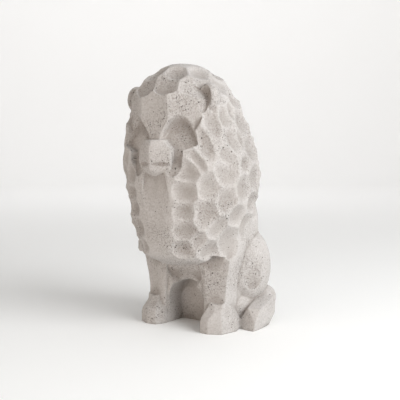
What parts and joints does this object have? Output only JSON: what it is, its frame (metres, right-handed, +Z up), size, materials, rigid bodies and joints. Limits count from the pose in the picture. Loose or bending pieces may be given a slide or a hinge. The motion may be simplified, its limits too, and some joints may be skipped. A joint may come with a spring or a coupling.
{
  "type": "limestone lion sculpture",
  "caption": "Seated lion carved from one block of pale limestone, with a faceted mane, a flat face, squared forelegs and a tail laid round its left haunch.",
  "frame": {"origin": "centre of the footprint's box, on the surface that the lion sits on", "axes": "+Z up, -Y the way the lion faces, +X the lion's own left"},
  "size_m": [0.1506, 0.163, 0.28],
  "materials": {
    "limestone": "matt, chiselled and rubbed, pale warm grey with small open pores"
  },
  "bodies": {
    "root": {"lion": "limestone"}
  },
  "joints": []
}
